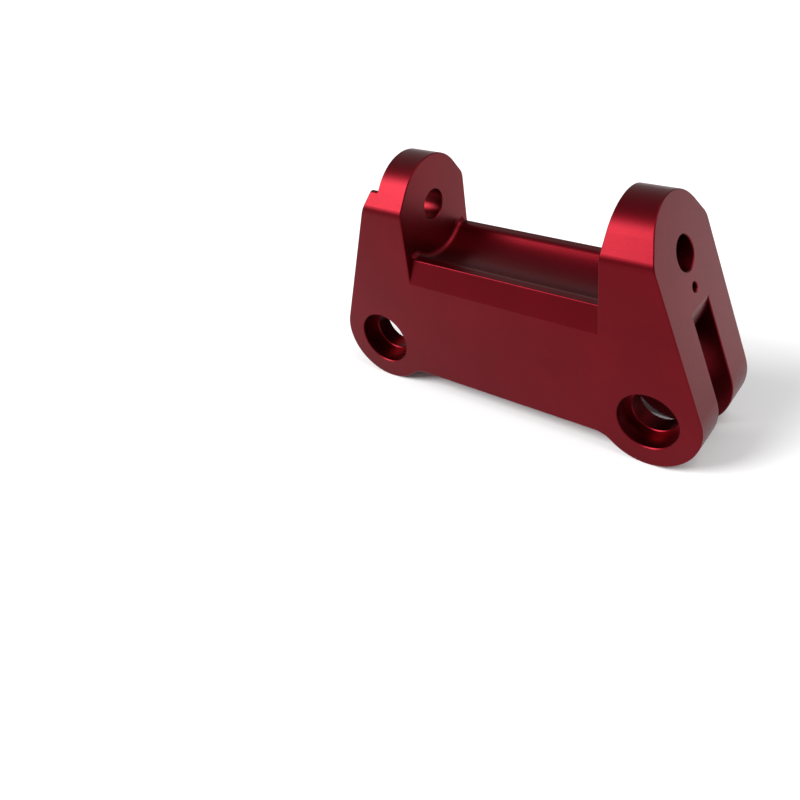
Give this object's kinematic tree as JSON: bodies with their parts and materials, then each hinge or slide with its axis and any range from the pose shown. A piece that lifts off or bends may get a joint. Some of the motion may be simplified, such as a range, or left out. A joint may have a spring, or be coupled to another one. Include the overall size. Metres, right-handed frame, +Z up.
{
  "type": "clevis bracket",
  "caption": "Milled aluminium clevis bracket: two leaning ears with a common pin bore over a trough, and slotted round feet with bearing seats.",
  "frame": {"origin": "middle of the length and of the depth, on the surface that the two feet stand on", "axes": "+X along the bracket, away from the nut pocket; +Y from the front face to the back face; +Z up, from the feet to the ears"},
  "size_m": [0.1504, 0.04, 0.0907],
  "materials": {
    "anodised_red": "satin, bead blasted and anodised deep red"
  },
  "bodies": {
    "root": {"bracket": "anodised_red"}
  },
  "joints": []
}
